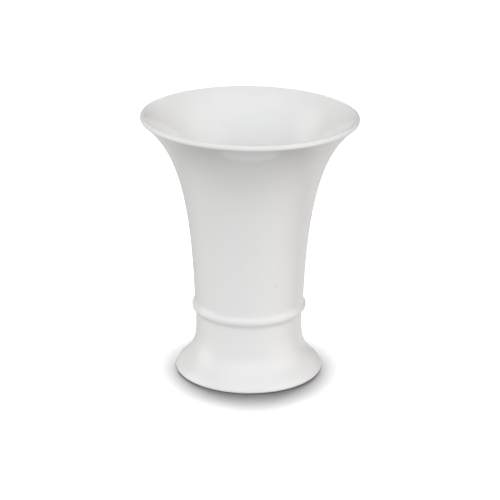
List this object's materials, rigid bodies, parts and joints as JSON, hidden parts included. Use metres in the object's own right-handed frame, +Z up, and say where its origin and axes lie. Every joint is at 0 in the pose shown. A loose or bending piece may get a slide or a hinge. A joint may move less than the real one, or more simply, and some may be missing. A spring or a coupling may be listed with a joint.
{
  "type": "flower vase",
  "caption": "Trumpet-shaped porcelain flower vase with a flared mouth, a straight tapering body, a bead ring low down and a hollow bell foot.",
  "frame": {"origin": "on the vase's axis, at the level of the face of the foot ring", "axes": "+Z up along the vase's axis, towards the mouth; X and Y are any two directions across it"},
  "size_m": [0.1294, 0.1294, 0.16],
  "materials": {
    "biscuit": "fired porcelain without glaze, matt and very finely grained, bare only on the foot ring",
    "slip": "fired porcelain slip, matt",
    "glaze": "clear glossy glaze over white porcelain"
  },
  "bodies": {
    "root": {"trumpet_body": "biscuit", "foot": "biscuit", "luting_slip": "slip", "outer_glaze": "glaze", "inner_glaze": "glaze", "underside_glaze": "glaze"}
  },
  "joints": []
}
